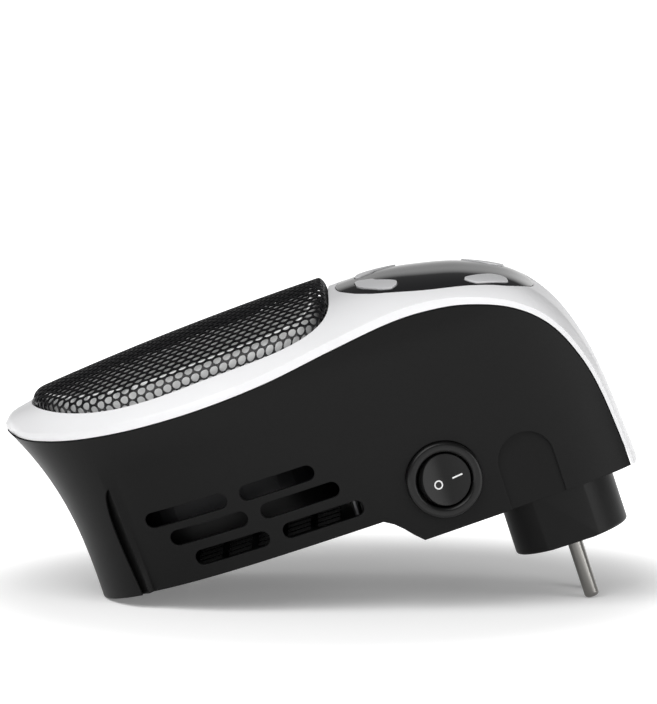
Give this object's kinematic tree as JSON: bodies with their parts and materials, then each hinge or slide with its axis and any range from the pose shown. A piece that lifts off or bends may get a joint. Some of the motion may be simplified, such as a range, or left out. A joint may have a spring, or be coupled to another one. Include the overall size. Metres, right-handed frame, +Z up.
{
  "type": "plug-in fan heater",
  "caption": "Plug-in fan heater with a domed outlet grille, a curved head with a push-button panel, a rocker switch in its side and a round mains plug at its back",
  "frame": {"origin": "middle of the bounding box's base, level with the tail's back edge and the pins' tips on which it rests", "axes": "+X from the tail to the plug end, +Z up as it lies on a table, -Y is the side with the rocker switch"},
  "size_m": [0.2044, 0.102, 0.1068],
  "materials": {
    "shell_black": "satin",
    "cover_white": "gloss",
    "grille_black": "satin",
    "collar_metal": "bright",
    "panel_gloss": "high gloss",
    "button_silver": "satin silver-white",
    "pin_nickel": "bright nickel plating",
    "steel": "plain",
    "board_green": "solder mask",
    "component_dark": "matte",
    "element_aluminium": "plain",
    "frame_beige": "matte",
    "lead_red": "matte"
  },
  "bodies": {
    "heater": {"rear_housing": "shell_black", "back_cover": "shell_black", "back_screw_1": "steel", "back_screw_2": "steel", "back_screw_3": "steel", "back_screw_4": "steel", "head_screw_1": "steel", "head_screw_2": "steel", "front_cover": "cover_white", "control_panel": "panel_gloss", "control_board": "board_green", "tact_switch_1": "component_dark", "tact_switch_2": "component_dark", "tact_switch_3": "component_dark", "tact_switch_4": "component_dark", "display_module": "component_dark", "outlet_grille": "grille_black", "grille_collar": "collar_metal", "fan_shroud": "component_dark", "fan_motor": "steel", "heater_frame": "frame_beige", "heating_element": "element_aluminium", "thermal_cutout": "steel", "thermal_fuse": "element_aluminium", "switch_housing": "shell_black", "plug_body": "shell_black", "pin_live": "pin_nickel", "pin_neutral": "pin_nickel", "power_board": "board_green", "relay": "component_dark", "capacitor": "component_dark", "terminal_block": "component_dark", "heater_lead_1": "lead_red", "heater_lead_2": "lead_red", "panel_lead": "lead_red", "switch_lead": "lead_red"},
    "fan": {"impeller": "component_dark", "motor_shaft": "steel"},
    "rocker": {"switch_rocker": "panel_gloss"},
    "timer_key": {"timer_button": "button_silver"},
    "speed_key": {"speed_button": "button_silver"},
    "warmer_key": {"warmer_button": "button_silver"},
    "cooler_key": {"cooler_button": "button_silver"}
  },
  "joints": [
    {"name": "fan_spin", "type": "hinge", "parent": "heater", "child": "fan", "pos_m": [-0.03039, 0, 0.03819], "axis": [-0.3136, 0, 0.9496], "continuous": true},
    {"name": "rocker_tilt", "type": "hinge", "parent": "heater", "child": "rocker", "pos_m": [0.03941, -0.04173, 0.04333], "axis": [0.3136, 0, -0.9496], "range_deg": [0, 16]},
    {"name": "timer_press", "type": "slide", "parent": "heater", "child": "timer_key", "axis": [0.2369, 0.0761, -0.9686], "range_m": [0, 0.0005], "stiffness_N_per_m": 1500},
    {"name": "speed_press", "type": "slide", "parent": "heater", "child": "speed_key", "axis": [0.2369, -0.0761, -0.9686], "range_m": [0, 0.0005], "stiffness_N_per_m": 1500},
    {"name": "warmer_press", "type": "slide", "parent": "heater", "child": "warmer_key", "axis": [-0.109, 0.0913, -0.9898], "range_m": [0, 0.0005], "stiffness_N_per_m": 1500},
    {"name": "cooler_press", "type": "slide", "parent": "heater", "child": "cooler_key", "axis": [-0.109, -0.0913, -0.9898], "range_m": [0, 0.0005], "stiffness_N_per_m": 1500}
  ]
}
